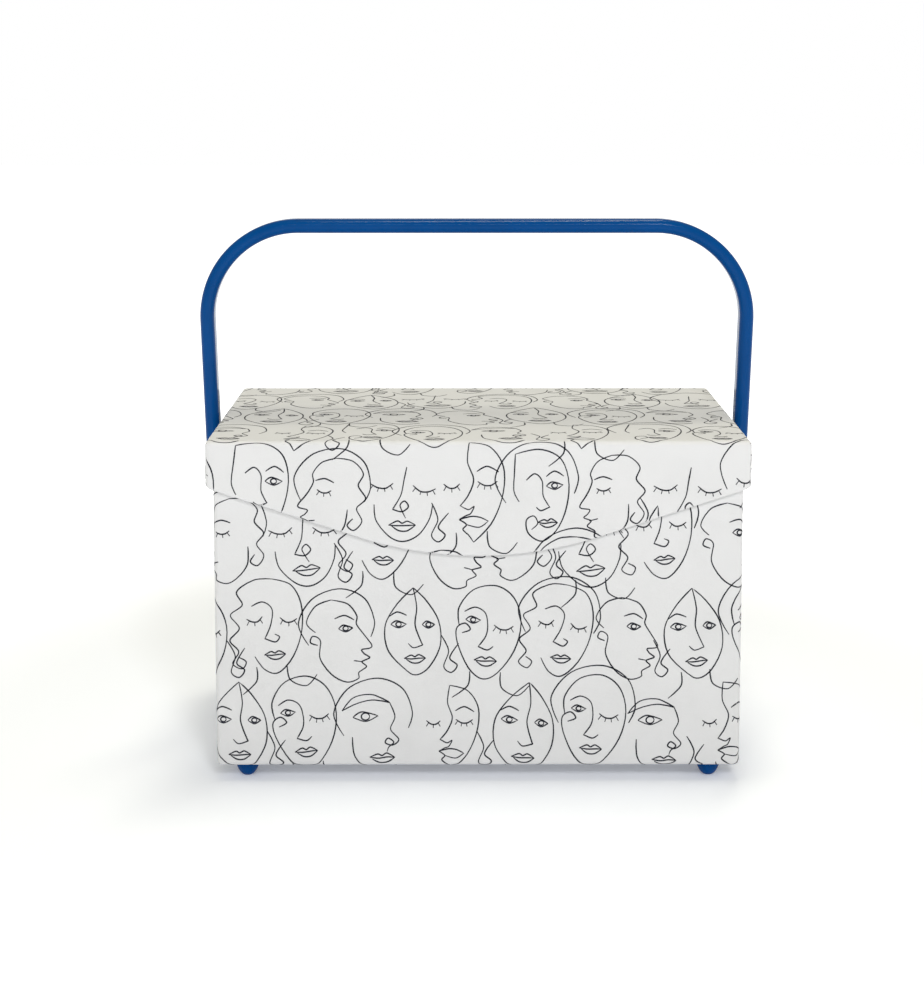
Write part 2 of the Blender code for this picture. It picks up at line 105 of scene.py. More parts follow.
def shade(colour, factor):
    return tuple(min(1.0, channel * factor) for channel in colour)


class Look:
    """A material in the making: its nodes, its shader, and the place on the piece in metres."""

    def __init__(self, name, roughness, **sockets):
        self.material = bpy.data.materials.new(name)
        self.material.use_nodes = True
        self.tree = self.material.node_tree
        self.where = node(self.tree, "ShaderNodeTexCoord").outputs["Object"]
        self.put(Roughness=roughness, **sockets)

    def put(self, **sockets):
        """Sets the shader's sockets."""
        for key, value in sockets.items():
            feed(self.tree, self.tree.nodes["Principled BSDF"].inputs[key.replace("_", " ")], value)

    def noise(self, size, detail=2.0, stretch=None):
        """A cloudy value from 0 to 1 whose features are about size across."""
        where = self.where
        if stretch:
            multiply = {"operation": "MULTIPLY"}
            where = node(self.tree, "ShaderNodeVectorMath", multiply, i0=where, i1=stretch).outputs[0]
        made = node(self.tree, "ShaderNodeTexNoise", Vector=where, Scale=1 / size, Detail=detail)
        return made.outputs["Fac"]

    def bands(self, direction, pitch, distortion=0.0):
        """A wavy value from 0 to 1 that repeats every pitch along an axis."""
        wave_turns = 20  # the Wave texture's own factor between scale and phase
        made = node(
            self.tree, "ShaderNodeTexWave", {"wave_type": "BANDS", "bands_direction": direction},
            Vector=self.where, Scale=tau / (wave_turns * pitch), Distortion=distortion, Detail=1.0,
        )
        return made.outputs["Fac"]

    def add(self, first, second, weight=1.0):
        """The first value, and the second one times a weight."""
        scaled = node(self.tree, "ShaderNodeMath", {"operation": "MULTIPLY"}, i0=second, i1=weight).outputs[0]
        return node(self.tree, "ShaderNodeMath", {"operation": "ADD"}, i0=first, i1=scaled).outputs[0]

    def finish(self, amount, low, high, height, depth):
        """The material, coloured from low to high by an amount, with bumps for what is too fine to model."""
        ramp = node(self.tree, "ShaderNodeValToRGB", Fac=amount)
        for stop, position, colour in zip(ramp.color_ramp.elements, (0.3, 0.7), (low, high)):
            stop.position, stop.color = position, (*colour, 1)
        bump = node(self.tree, "ShaderNodeBump", Height=height, Distance=depth, Strength=1.0)
        self.put(Base_Color=ramp.outputs["Color"], Normal=bump.outputs["Normal"])
        return self.material


def woven(name, colour, pitch, depth, variation=0.03):
    """Plain weave: threads run along all three axes, so each face of the box shows two sets of them."""
    look = Look(name, 0.85, Sheen_Weight=0.1, Sheen_Roughness=0.5, Specular_IOR_Level=0.25)
    threads = look.bands("X", pitch, 0.6)
    for direction in "YZ":
        threads = look.add(threads, look.bands(direction, pitch, 0.6))
    rough = look.add(threads, look.noise(1.4 * pitch, 3), 1.5)
    cloudy = look.add(look.noise(30 * MM), look.noise(0.9 * MM), 0.35)
    return look.finish(cloudy, shade(colour, 1 - variation), shade(colour, 1 + variation), rough, depth)


def ink(name):
    """Printed ink, a little uneven."""
    look = Look(name, 0.75, Specular_IOR_Level=0.2)
    thin, full = (0.010, 0.011, 0.016), (0.030, 0.032, 0.045)
    return look.finish(look.noise(2.2 * MM, 4), thin, full, look.noise(0.5 * MM), 0.03 * MM)


def moulded(name, colour, roughness, specular=0.3):
    """Injection-moulded plastic: a faint orange-peel skin and rub marks that change its gloss."""
    look = Look(name, roughness, Specular_IOR_Level=specular)
    rubbed = node(
        look.tree, "ShaderNodeMapRange",
        Value=look.noise(6 * MM, 5), To_Min=roughness - 0.06, To_Max=roughness + 0.08,
    )
    look.put(Roughness=rubbed.outputs["Result"])
    skin = look.add(look.noise(1.2 * MM), look.noise(0.3 * MM), 0.5)
    return look.finish(look.noise(25 * MM, 3), shade(colour, 0.94), shade(colour, 1.06), skin, 0.01 * MM)


def brushed(name, colour, roughness):
    """Metal with fine scratches."""
    look = Look(name, roughness, Metallic=1.0)
    scratches = look.noise(0.4 * MM, 3, (1, 1, 6))
    return look.finish(look.noise(1.5 * MM, 4), shade(colour, 0.85), shade(colour, 1.1), scratches, 0.02 * MM)


def board(name, colour):
    """Grey recycled board: flecks and short fibres."""
    look = Look(name, 0.92, Specular_IOR_Level=0.2)
    flecks = look.noise(0.7 * MM, 6, (1, 1, 3))
    return look.finish(flecks, shade(colour, 0.75), shade(colour, 1.2), flecks, 0.08 * MM)


def wood(name, colour):
    """Planed wood, its grain along the strip."""
    look = Look(name, 0.55, Specular_IOR_Level=0.35)
    grain = look.noise(1.6 * MM, 5, (0.04, 1, 1))
    rings = look.add(grain, look.bands("Z", 3.5 * MM, 4.0), 0.35)
    return look.finish(rings, shade(colour, 0.72), shade(colour, 1.12), grain, 0.05 * MM)


def fuzzy(name, colour):
    """Felt: matted fibres with a soft sheen."""
    look = Look(name, 0.95, Sheen_Weight=0.6, Sheen_Roughness=0.4, Specular_IOR_Level=0.1)
    fibres = look.add(look.noise(0.5 * MM, 6), look.noise(2.5 * MM, 4), 0.6)
    return look.finish(fibres, shade(colour, 0.7), shade(colour, 1.3), fibres, 0.25 * MM)


def ribbed(name, colour):
    """Woven elastic: cords that run along the band, crossed by fine ribs."""
    look = Look(name, 0.8, Sheen_Weight=0.2, Specular_IOR_Level=0.2)
    ribs = look.add(look.bands("X", 0.7 * MM), look.bands("Y", 1.3 * MM))
    return look.finish(ribs, shade(colour, 0.7), shade(colour, 1.25), ribs, 0.12 * MM)


def make_looks():
    return {
        "printed_cloth": woven("printed_cloth", (0.66, 0.66, 0.667), 0.55 * MM, 0.035 * MM),
        "ink": ink("print_ink"),
        "base_cloth": woven("base_cloth", (0.55, 0.56, 0.58), 0.8 * MM, 0.08 * MM),
        "lining_cloth": woven("lining_cloth", (0.56, 0.60, 0.66), 0.45 * MM, 0.05 * MM, variation=0.04),
        "greyboard": board("greyboard", (0.33, 0.31, 0.28)),
        "blue_plastic": moulded("blue_plastic", (0.0003, 0.052, 0.205), 0.13, specular=0.07),
        "steel": brushed("steel", (0.62, 0.62, 0.63), 0.3),
        "nylon": moulded("nylon", (0.68, 0.68, 0.67), 0.42),
        "ledge_wood": wood("ledge_wood", (0.55, 0.38, 0.21)),
        "felt": fuzzy("felt", (0.010, 0.090, 0.320)),
        "elastic": ribbed("elastic", (0.010, 0.080, 0.300)),
        "tray_plastic": moulded("tray_plastic", (0.54, 0.60, 0.66), 0.34, specular=0.4),
    }


# ---------------------------------------------------------------- meshes

def make_object(name, points, faces, look, smooth=True):
    mesh = bpy.data.meshes.new(name)
    mesh.from_pydata([tuple(point) for point in points], [], faces)
    mesh.materials.append(look)
    if smooth:
        mesh.shade_smooth()
    made = bpy.data.objects.new(name, mesh)
    bpy.context.scene.collection.objects.link(made)
    return made


def tidy_mesh(obj, weld=1e-6):
    """Welds points that coincide, unless weld is 0, and turns every face outwards."""
    shape = bmesh.new()
    shape.from_mesh(obj.data)
    if weld:
        bmesh.ops.remove_doubles(shape, verts=shape.verts, dist=weld)
    bmesh.ops.recalc_face_normals(shape, faces=shape.faces)
    shape.to_mesh(obj.data)
    shape.free()


def apply_modifiers(obj):
    bpy.context.view_layer.update()
    graph = bpy.context.evaluated_depsgraph_get()
    mesh = bpy.data.meshes.new_from_object(obj.evaluated_get(graph))
    obj.modifiers.clear()
    obj.data = mesh


def strip_faces(rows, closed_rows=False, closed_columns=False):
    """Quads between neighbouring rows of equally many points."""
    count = len(rows[0])
    faces = []
    row_pairs = len(rows) if closed_rows else len(rows) - 1
    column_pairs = count if closed_columns else count - 1
    for row in range(row_pairs):
        for column in range(column_pairs):
            near, far = row * count, (row + 1) % len(rows) * count
            after = (column + 1) % count
            faces.append((near + column, near + after, far + after, far + column))
    return faces


def loft(name, rows, look, closed_rows=False, closed_columns=False, caps=False):
    """A surface through rows of equally many points."""
    points = [point for row in rows for point in row]
    faces = strip_faces(rows, closed_rows, closed_columns)
    if caps:
        count = len(rows[0])
        faces += [tuple(range(count)), tuple(range(len(points) - count, len(points)))]
    made = make_object(name, points, faces, look)
    tidy_mesh(made)
    return made


def stitched(name, sheets, look):
    """One smooth sheet from several, welded where they meet, with its topmost face looking up."""
    points, faces = [], []
    for rows in sheets:
        first = len(points)
        points += [point for row in rows for point in row]
        faces += [tuple(first + k for k in face) for face in strip_faces(rows)]
    made = make_object(name, points, faces, look)
    tidy_mesh(made, 5e-6)
    highest = max(made.data.polygons, key=lambda face: face.center.z)
    if highest.normal.z < 0:
        made.data.flip_normals()
    return made


def sharpen(obj, degrees=40):
    obj.data.set_sharp_from_angle(angle=radians(degrees))


def thicken(obj, thickness, offset=-1.0):
    """Turns a sheet into a shell. An offset of -1 grows it inwards, and 1 outwards."""
    modifier = obj.modifiers.new("thickness", "SOLIDIFY")
    modifier.thickness = thickness
    modifier.offset = offset
    modifier.use_even_offset = True
    apply_modifiers(obj)
    obj.data.shade_smooth()
    sharpen(obj, 60)


def arc(centre, radius, start, end, steps):
    """Points of an arc in a plane, from one angle to another in degrees."""
    turns = [radians(start + (end - start) * k / steps) for k in range(steps + 1)]
    return [(centre[0] + radius * cos(t), centre[1] + radius * sin(t)) for t in turns]


def rounded_loop(half_x, half_y, radius, steps=8, support=1 * MM):
    """Points counter-clockwise round a rectangle with round corners, with a support point beside each arc."""
    loop = []
    for quarter, (side_x, side_y) in enumerate(((1, 1), (-1, 1), (-1, -1), (1, -1))):
        centre = (side_x * (half_x - radius), side_y * (half_y - radius))
        start = 90 * quarter
        bend = arc(centre, radius, start, start + 90, steps)
        before, after = radians(start + 90), radians(start + 180)
        first = (bend[0][0] - support * cos(before), bend[0][1] - support * sin(before))
        last = (bend[-1][0] + support * cos(after), bend[-1][1] + support * sin(after))
        loop += [first, *bend, last]
    return loop


def sleeve(name, half_x, half_y, corner, profile, look):
    """A sheet round the case. The profile's (inset, z) points run round the sheet's own section."""
    rows = []
    for inset, z in profile:
        loop = rounded_loop(half_x - inset, half_y - inset, max(corner - inset, 0.1 * MM))
        rows.append([(x, y, z) for x, y in loop])
    made = loft(name, rows, look, closed_rows=True, closed_columns=True)
    sharpen(made)
    return made


def turned(name, profile, centre, look, axis="Z", steps=40):
    """Turns (radius, height) points round an axis. A radius of 0 closes an end."""
    closest = 1e-7  # near enough to the axis to be welded there
    turns = [tau * k / steps for k in range(steps)]
    rows = []
    for radius, height in profile:
        reach = max(radius, closest)
        rows.append([Vector((reach * cos(t), reach * sin(t), height)) for t in turns])
    closed = profile[0][0] > 0
    points = [point for row in rows for point in row]
    made = make_object(name, points, strip_faces(rows, closed, True), look)
    if axis == "X":
        made.data.transform(Matrix.Rotation(QUARTER, 4, "Y"))
    made.data.transform(Matrix.Translation(centre))
    tidy_mesh(made, 2e-6)
    sharpen(made, 35)
    return made


def soften(point, low, high, radius):
    """Rounds a box's edges: the place of a point of its sharp surface, and the way out there."""
    core = Vector([min(max(c, l + radius), h - radius) for c, l, h in zip(point, low, high)])
    out = (point - core).normalized()
    return core + out * radius, out


def span(name):
    """A CAD node's box: its low and high corners, its centre and half its size."""
    low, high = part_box(name)
    return low, high, (low + high) / 2, (high - low) / 2


# ---------------------------------------------------------------- the case's cloth

class Case:
    """The cloth round the case's walls. Flat: s runs round from the front left corner, t is the height."""

    def __init__(self):
        self.low, self.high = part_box("case_cover")
        self.width, self.depth = self.high.x - self.low.x, self.high.y - self.low.y
        self.round = 2 * (self.width + self.depth)
        self.walls = [
            (Vector((self.low.x, self.low.y, 0)), Vector((1, 0, 0)), self.width),
            (Vector((self.high.x, self.low.y, 0)), Vector((0, 1, 0)), self.depth),
            (Vector((self.high.x, self.high.y, 0)), Vector((-1, 0, 0)), self.width),
            (Vector((self.low.x, self.high.y, 0)), Vector((0, -1, 0)), self.depth),
        ]

    def wall_at(self, s):
        """The wall that s is on: its corner, its direction, the run along it, and its length."""
        s %= self.round
        for corner, along, length in self.walls:
            if s <= length:
                return corner, along, s, length
            s -= length
        return corner, along, length, length

    def inside(self, s, t):
        turned_under, below_rim = 2.5 * MM, 1.5 * MM
        return self.low.z - turned_under < t < self.high.z - below_rim

    def near_fold(self, s, t):
        _, _, run, length = self.wall_at(s)
        reach = 1.3 * CASE_FOLD
        return min(run, length - run) < reach or t < self.low.z + reach

    def point(self, s, t, lift):
        """The place on the cloth, or above it by lift."""
        corner, along, run, _ = self.wall_at(s)
        place_on = corner + along * run + Vector((0, 0, max(t, self.low.z)))
        under = self.low.z - t
        if under > 0:
            inward = Vector((-along.y, along.x, 0))
            place_on += inward * under
        high = Vector((self.high.x, self.high.y, FAR))
        on, out = soften(place_on, self.low, high, CASE_FOLD)
        return on + out * lift


def make_case_cloth(case, looks):
    low, rim = case.low.z, case.high.z
    lip = case.high.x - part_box("case_lining")[1].x + LINING
    fold, edge = CASE_FOLD, LINING
    profile = [(fold + GAP, low)]
    profile += [(fold - x, z) for x, z in arc((0, low + fold), fold, -90, 0, 8)]
    profile += [(0, low + fold + 1 * MM), (0, rim - RIM_FOLD - 1 * MM)]
    profile += [(RIM_FOLD - x, z) for x, z in arc((0, rim - RIM_FOLD), RIM_FOLD, 0, 90, 6)]
    profile += [(lip - edge - x, z) for x, z in arc((0, rim - edge), edge, 90, 180, 4)]
    profile += [(lip, rim - CLOTH), (CLOTH, rim - CLOTH), (CLOTH, low + fold)]
    inner = fold - CLOTH
    profile += [(fold - x, z) for x, z in arc((0, low + fold), inner, 0, -90, 6)][1:]
    profile += [(fold + GAP, low + CLOTH)]
    return sleeve("case_cloth", case.high.x, case.high.y, fold, profile, looks["printed_cloth"])


# ---------------------------------------------------------------- the lid's cloth

class Lid:
    """The cloth over the lid. Flat: s runs across from the middle, t from the back edge forward and down."""

    def __init__(self):
        self.low, self.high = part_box("lid_cover")
        self.half = self.high.x
        self.depth = self.high.y - self.low.y
        self.top = self.high.z
        self.slope = FLAP_ARC_HALF_WIDTH / sqrt(FLAP_ARC_RADIUS**2 - FLAP_ARC_HALF_WIDTH**2)
        self.skirt_low = self.edge(self.half)[0]
        self.lip = 3.8 * MM

    def edge(self, x):
        """The height of the flap's lower edge, and the unit vector (x, z) that points down out of it."""
        reach = min(abs(x), FLAP_ARC_HALF_WIDTH)
        height = sqrt(FLAP_ARC_RADIUS**2 - reach**2)
        z = self.low.z + FLAP_ARC_RADIUS - height + max(0, abs(x) - FLAP_ARC_HALF_WIDTH) * self.slope
        levels_out = 10 * MM  # before it meets the skirt
        settle = min(1, max(0, (self.half - abs(x)) / levels_out))
        slope = copysign(reach / height * settle, x)
        length = hypot(1, slope)
        return z, (slope / length, -1 / length)

    def base(self, x):
        """Where the hem's roll starts: the edge, moved up by the roll's radius."""
        z, (_, down) = self.edge(x)
        return z - HEM_ROLL / down

    def inside(self, s, t):
        margin, round_hem = 1 * MM, 2.2 * MM
        if abs(s) > self.half:
            drop = abs(s) - self.half
            return margin < t < self.depth and drop < self.top - self.skirt_low + margin
        z = self.top - (t - self.depth)
        return -self.lip + margin < t and z > self.base(s) - round_hem

    def near_fold(self, s, t):
        reach = 1.3 * LID_FOLD
        z = self.top - (t - self.depth)
        hem = t > self.depth and z < self.base(s) + 1 * MM
        side_hem = abs(s) - self.half > self.top - self.skirt_low - 3 * MM
        return abs(abs(s) - self.half) < reach or abs(t - self.depth) < reach or t < reach or hem or side_hem

    def place(self, sharp):
        high = Vector((self.half, self.high.y, self.top))
        low = Vector((-self.half, self.low.y, -FAR))
        return soften(sharp, low, high, LID_FOLD)

    def hem(self, sharp, down, past, lift):
        """Carries a point round the hem's roll by the length past, from the line that the roll starts on."""
        on, out = self.place(sharp)
        turn = past / HEM_ROLL
        radius = HEM_ROLL + lift
        return on - out * (HEM_ROLL - radius * cos(turn)) + down * radius * sin(turn)

    def point(self, s, t, lift):
        """The place on the cloth, or above it by lift: on a skirt, the flap, the back lip or the top."""
        if abs(s) > self.half:
            drop = min(abs(s) - self.half, self.top - self.skirt_low + 1 * MM)
            y = min(max(self.high.y - t, self.low.y), self.high.y)
            start = self.skirt_low + HEM_ROLL
            past = start - (self.top - drop)
            sharp = Vector((copysign(self.half, s), y, max(self.top - drop, start)))
            if past > 0:
                return self.hem(sharp, Vector((0, 0, -1)), past, lift)
        elif t > self.depth:
            z = self.top - (t - self.depth)
            _, (down_x, down_z) = self.edge(s)
            past = (self.base(s) - z) * -down_z
            sharp = Vector((s, self.low.y, z))
            if past > 0:
                down = Vector((down_x, 0, down_z))
                return self.hem(sharp - down * past, down, past, lift)
        elif t < 0:
            sharp = Vector((s, self.high.y, self.top + t))
        else:
            sharp = Vector((s, self.high.y - t, self.top))
        on, out = self.place(sharp)
        return on + out * lift


def fold_steps(fold):
    return [fold * k / FOLD_ROWS for k in range(FOLD_ROWS + 1)]


def graded(start, end, fold, pitch):
    """Numbers from start to end, close together within a fold of each end and about pitch apart between."""
    near = fold_steps(fold) + [fold + FOLD_STEP]
    length = end - start
    count = max(1, round((length - 2 * near[-1]) / pitch))
    middle = [near[-1] + (length - 2 * near[-1]) * k / count for k in range(1, count)]
    return [start + run for run in [*near, *middle, *[length - run for run in reversed(near)]]]


def falling(sharp_at, top, end, fold):
    """Points down a skirt or flap: close together within the fold, then spread out down to its end."""
    start = top - fold
    shares = [0.03, *[k / 6 for k in range(1, 6)], 0.97, 1]
    heights = [top - drop for drop in fold_steps(fold)] + [start + (end - start) * share for share in shares]
    return [sharp_at(height) for height in heights]


def make_lid_cloth(lid, looks):
    pitch = 8 * MM
    across = graded(-lid.half, lid.half, LID_FOLD, pitch)
    along = graded(lid.low.y, lid.high.y, LID_FOLD, pitch)
    roll = [pi * HEM_ROLL * k / 8 for k in range(1, 9)]
    tuck = 2 * MM  # how far the hem runs up inside

    def fall(sharp_at, base, down):
        """A column of points from the lid's edge down to its hem, round it, and a little way up inside."""
        column = [lid.place(sharp)[0] for sharp in falling(sharp_at, lid.top, base, LID_FOLD)]
        foot = sharp_at(base)
        column += [lid.hem(foot, down, past, 0) for past in roll]
        column.append(column[-1] - down * tuck)
        return column

    top = [[lid.place(Vector((x, y, lid.top)))[0] for x in across] for y in along]
    flap = []
    for x in across:
        _, (down_x, down_z) = lid.edge(x)
        flap.append(fall(lambda z, x=x: Vector((x, lid.low.y, z)), lid.base(x), Vector((down_x, 0, down_z))))
    sheets = [top, flap]
    for side in (-lid.half, lid.half):
        base = lid.skirt_low + HEM_ROLL
        sheets.append([
            fall(lambda z, y=y, side=side: Vector((side, y, z)), base, Vector((0, 0, -1))) for y in along
        ])
    sheets.append([
        [lid.place(Vector((x, lid.high.y, lid.top - drop)))[0] for x in across]
        for drop in [*fold_steps(LID_FOLD), lid.lip]
    ])
    cloth = stitched("lid_cloth", sheets, looks["printed_cloth"])
    thicken(cloth, CLOTH)
    return cloth


def make_lid_lining(lid, looks):
    """The lining of the lid's underside, its flap and its skirts, in one sheet."""
    low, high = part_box("lid_lining")
    half = high.x - LINING
    front, back, under = low.y + LINING, high.y, high.z - LINING
    fold, pitch = 1.5 * MM, 12 * MM
    across, along = graded(-half, half, fold, pitch), graded(front, back, fold, pitch)
    corner_low, corner_high = Vector((-half, front, -FAR)), Vector((half, FAR, under))

    def rounded(column):
        return [soften(sharp, corner_low, corner_high, fold)[0] for sharp in column]

    top = [rounded([Vector((x, y, under)) for x in across]) for y in along]
    hem = 1.2 * MM  # how far it stops above the cover's hem
    flap = [
        rounded(falling(lambda z, x=x: Vector((x, front, z)), under, lid.base(x) + hem, fold)) for x in across
    ]
    side_low = lid.skirt_low + HEM_ROLL + hem
    skirts = [
        [rounded(falling(lambda z, y=y, x=x: Vector((x, y, z)), under, side_low, fold)) for y in along]
        for x in (-half, half)
    ]
    lining = stitched("lid_lining_cloth", [top, flap, *skirts], looks["lining_cloth"])
    thicken(lining, LINING, 1.0)
    return lining


# ---------------------------------------------------------------- the print

# Each drawing is a list of pen strokes on a grid 100 units high, with its middle line at x = 0.
# A point given twice in a row is a sharp corner.

def closed_eye(x, y, width, drop=4, lashes=4, lean=0):
    """A lowered lid with lashes under it."""
    left, right = (x - width / 2, y + lean), (x + width / 2, y - lean)
    strokes = [[left, (x - width / 6, y - drop), (x + width / 5, y - drop), right]]
    for k in range(lashes):
        share = (k + 0.5) / lashes
        root = (x + width * (share - 0.5), y - drop * (1 - (2 * share - 1) ** 2) + lean * (1 - 2 * share))
        strokes.append([root, (root[0] + (share - 0.5) * 7, root[1] - 4.6)])
    return strokes


def open_eye(x, y, width, height=8, iris=2.6):
    """An almond with a ring in it."""
    left, right = (x - width / 2, y), (x + width / 2, y)
    almond = [left, left, (x - width / 8, y + height / 2), right, right, (x, y - height / 2), left, left]
    ring = [(x + iris * cos(t), y + iris * sin(t)) for t in [tau * k / 8 for k in range(9)]]
    return [almond, ring]


def lips(x, y, width, height=9, lean=0):
    """An upper lip with its bow, the line between the lips, and a lower lip."""
    left, right = (x - width / 2, y + lean), (x + width / 2, y - lean)
    upper = [
        left, left, (x - 0.18 * width, y + 0.36 * height), (x, y + 0.18 * height),
        (x + 0.2 * width, y + 0.4 * height), right, right,
    ]
    middle = [left, (x - 0.15 * width, y - 0.08 * height), (x + 0.2 * width, y), right]
    lower = [
        (x - 0.4 * width, y - 0.1 * height), (x - 0.12 * width, y - 0.52 * height),
        (x + 0.2 * width, y - 0.5 * height), right,
    ]
    return [upper, middle, lower]


def oval_face():
    return [
        [(-25, 56), (-26, 74), (-14, 93), (6, 98), (22, 86), (29, 62), (25, 34), (12, 10), (-1, 2),
         (-14, 12), (-25, 36), (-27, 52), (-20, 58), (-15, 52), (-22, 48)],
        [(-21, 70), (-12, 75), (-3, 70), (0, 58), (-1, 46), (-7, 35), (-7, 35), (1, 32), (6, 36)],
        *closed_eye(14, 58, 17), *open_eye(-13, 62, 13, 7, 2.2), *lips(0, 21, 20, 10),
    ]


def sleeping_face():
    return [
        [(2, 84), (0, 68), (-2, 52), (-9, 36), (-9, 36), (0, 34), (6, 40), (2, 46), (-2, 41), (1, 33),
         (4, 27)],
        *closed_eye(-21, 64, 22, 5, 4, -1), *closed_eye(20, 63, 22, 5, 4, 1), *lips(1, 19, 26, 12, -1),
        [(-27, 40), (-24, 22), (-10, 5), (4, 1), (18, 10), (27, 28), (29, 44)],
    ]


def left_profile():
    return [
        [(2, 97), (-12, 91), (-20, 78), (-19, 68), (-24, 55), (-32, 42), (-31, 38), (-23, 36), (-25, 31),
         (-29, 27), (-22, 23), (-26, 17), (-19, 11), (-19, 4), (-8, -1), (4, 6), (14, 20), (16, 40)],
        [(2, 97), (18, 95), (29, 82), (25, 68), (33, 54), (25, 42), (31, 28), (24, 17), (17, 22), (22, 30)],
        [(-17, 70), (-8, 73), (1, 69)],
        [(-24, 23), (-15, 25)],
        *closed_eye(-8, 60, 14, 3, 3),
    ]


def leaf_face():
    return [
        [(2, 100), (2, 100), (-14, 82), (-26, 58), (-24, 30), (-8, 8), (3, 1), (16, 10), (27, 34), (26, 62),
         (14, 86), (2, 100), (2, 100), (5, 78), (3, 58), (8, 40), (10, 35), (10, 35), (1, 32), (-4, 37)],
        [(-22, 68), (-14, 73), (-5, 69)],
        *open_eye(-13, 59, 15, 8, 2.6), *open_eye(16, 58, 12, 8, 2.4), *lips(2, 20, 21, 10),
    ]


def browed_face():
    return [
        [(-30, 74), (-30, 74), (-18, 88), (0, 90), (16, 80), (16, 80), (0, 84), (-16, 81), (-30, 74)],
        [(16, 80), (20, 64), (15, 50), (22, 38), (16, 32), (9, 35), (12, 40), (17, 35), (12, 30), (10, 25)],
        [(-22, 44), (-21, 22), (-8, 4), (6, 0), (18, 6)],
        *open_eye(-8, 66, 24, 11, 4), *lips(5, 19, 24, 11, 1),
    ]


def curly_face():
    return [
        [(6, 99), (-10, 99), (-26, 88), (-22, 74), (-33, 64), (-26, 50), (-35, 38), (-28, 26), (-34, 14),
         (-26, 8), (-22, 15), (-28, 20)],
        [(6, 99), (22, 92), (30, 72), (29, 44), (20, 18), (6, 2), (-6, 6), (-14, 20)],
        [(-14, 72), (-4, 76), (4, 68), (2, 52), (-4, 38), (-4, 38), (5, 34), (9, 39), (5, 42)],
        *closed_eye(18, 58, 15, 4, 3, 1), *closed_eye(-12, 60, 14, 4, 3, -1), *lips(4, 21, 19, 9),
    ]


def right_profile():
    return [
        [(-4, 96), (12, 90), (20, 76), (19, 66), (25, 54), (32, 41), (30, 37), (22, 36), (24, 31), (29, 26),
         (21, 22), (25, 16), (17, 10), (16, 3), (4, 0), (-10, 10), (-20, 30), (-18, 50), (-25, 56),
         (-28, 49), (-21, 45)],
        [(-4, 96), (-20, 90), (-30, 72), (-22, 60)],
        [(-2, 74), (8, 77), (17, 71)],
        [(22, 22), (13, 24)],
        *open_eye(8, 62, 14, 8, 2.6),
    ]


def split_face():
    return [
        [(0, 100), (-2, 80), (3, 62), (-2, 46), (-9, 36), (-9, 36), (-2, 32), (3, 35), (0, 28), (-4, 26),
         (-10, 22), (-10, 22), (-4, 17), (-7, 12), (-2, 6), (2, -1)],
        [(0, 100), (0, 100), (18, 94), (29, 74), (28, 46), (18, 18), (2, -1)],
        [(6, 70), (15, 75), (25, 69)],
        [(-10, 22), (0, 25), (8, 24), (15, 20), (15, 20), (7, 14), (-4, 17)],
        *closed_eye(15, 60, 17), *closed_eye(-16, 58, 14, 4, 3),
    ]


def open_face():
    return [
        [(-18, 96), (4, 99), (22, 88), (28, 64), (24, 36), (14, 14), (0, 3), (-12, 12), (-13, 26), (-6, 30),
         (-3, 22), (-9, 16)],
        [(-18, 96), (-18, 96), (-20, 78), (-22, 58), (-18, 46)],
        [(-10, 68), (-2, 74), (4, 66), (4, 50), (9, 38), (9, 38), (1, 35), (-3, 39)],
        [(8, 70), (16, 75), (24, 69)],
        *open_eye(15, 60, 15, 8, 2.6), *lips(6, 22, 18, 9, 1),
    ]


DRAWINGS = [
    leaf_face, left_profile, oval_face, sleeping_face, browed_face, curly_face, split_face, right_profile,
    open_face,
]


def flourish(number):
    """Loose strokes beside a drawing: a curl by the jaw, a neck and shoulder, or a sweep of hair."""
    return [
        [[(28, 46), (35, 28), (30, 10), (37, 3), (43, 11), (36, 20), (45, 36)]],
        [[(-13, 9), (-14, -6), (-27, -19)], [(14, 10), (16, -6), (30, -13), (40, -2)]],
        [[(-30, 46), (-38, 72), (-22, 99), (6, 108), (29, 95), (37, 68), (32, 50)]],
    ][number % 3]


def pen_line(points):
    """A smooth line through a stroke's points, sampled every SAMPLE_STEP, with corners at doubled points."""
    line = []
    ends = [points[0], *points, points[-1]]
    for before, start, end, after in zip(ends, ends[1:], ends[2:], ends[3:]):
        if start == end:
            continue
        out = (0, 0) if before == start else ((end[0] - before[0]) / 2, (end[1] - before[1]) / 2)
        into = (0, 0) if after == end else ((after[0] - start[0]) / 2, (after[1] - start[1]) / 2)
        count = max(2, ceil(dist(start, end) / SAMPLE_STEP))
        for k in range(count):
            u = k / count
            weights = (2 * u**3 - 3 * u**2 + 1, u**3 - 2 * u**2 + u, 3 * u**2 - 2 * u**3, u**3 - u**2)
            parts = list(zip(weights, (start, out, end, into)))
            line.append(tuple(sum(weight * part[i] for weight, part in parts) for i in (0, 1)))
    line.append(points[-1])
    return line


def thinned(line, near_fold):
    """Leaves out samples where the line is nearly straight, but keeps them close together at a fold."""
    shortest = 0.05 * MM
    kept = [line[0]]
    heading = None
    for before, here, after in zip(line, line[1:], line[2:]):
        run = dist(kept[-1], here)
        way = atan2(here[1] - before[1], here[0] - before[0])
        heading = way if heading is None else heading
        next_way = atan2(after[1] - here[1], after[0] - here[0])
        turn = abs((next_way - heading + pi) % tau - pi)
        if turn > SHARPEST_TURN or run > LONGEST_STEP or (run > FOLD_STEP and near_fold(*here)):
            kept.append(here)
            heading = None
    kept.append(line[-1])
    return [point for k, point in enumerate(kept) if not k or dist(point, kept[k - 1]) > shortest]


def pieces_inside(line, inside):
    """Splits a line where it leaves the cloth."""
    piece = []
    for point in line:
        if inside(*point):
            piece.append(point)
        elif piece:
            yield piece
            piece = []
    if piece:
        yield piece


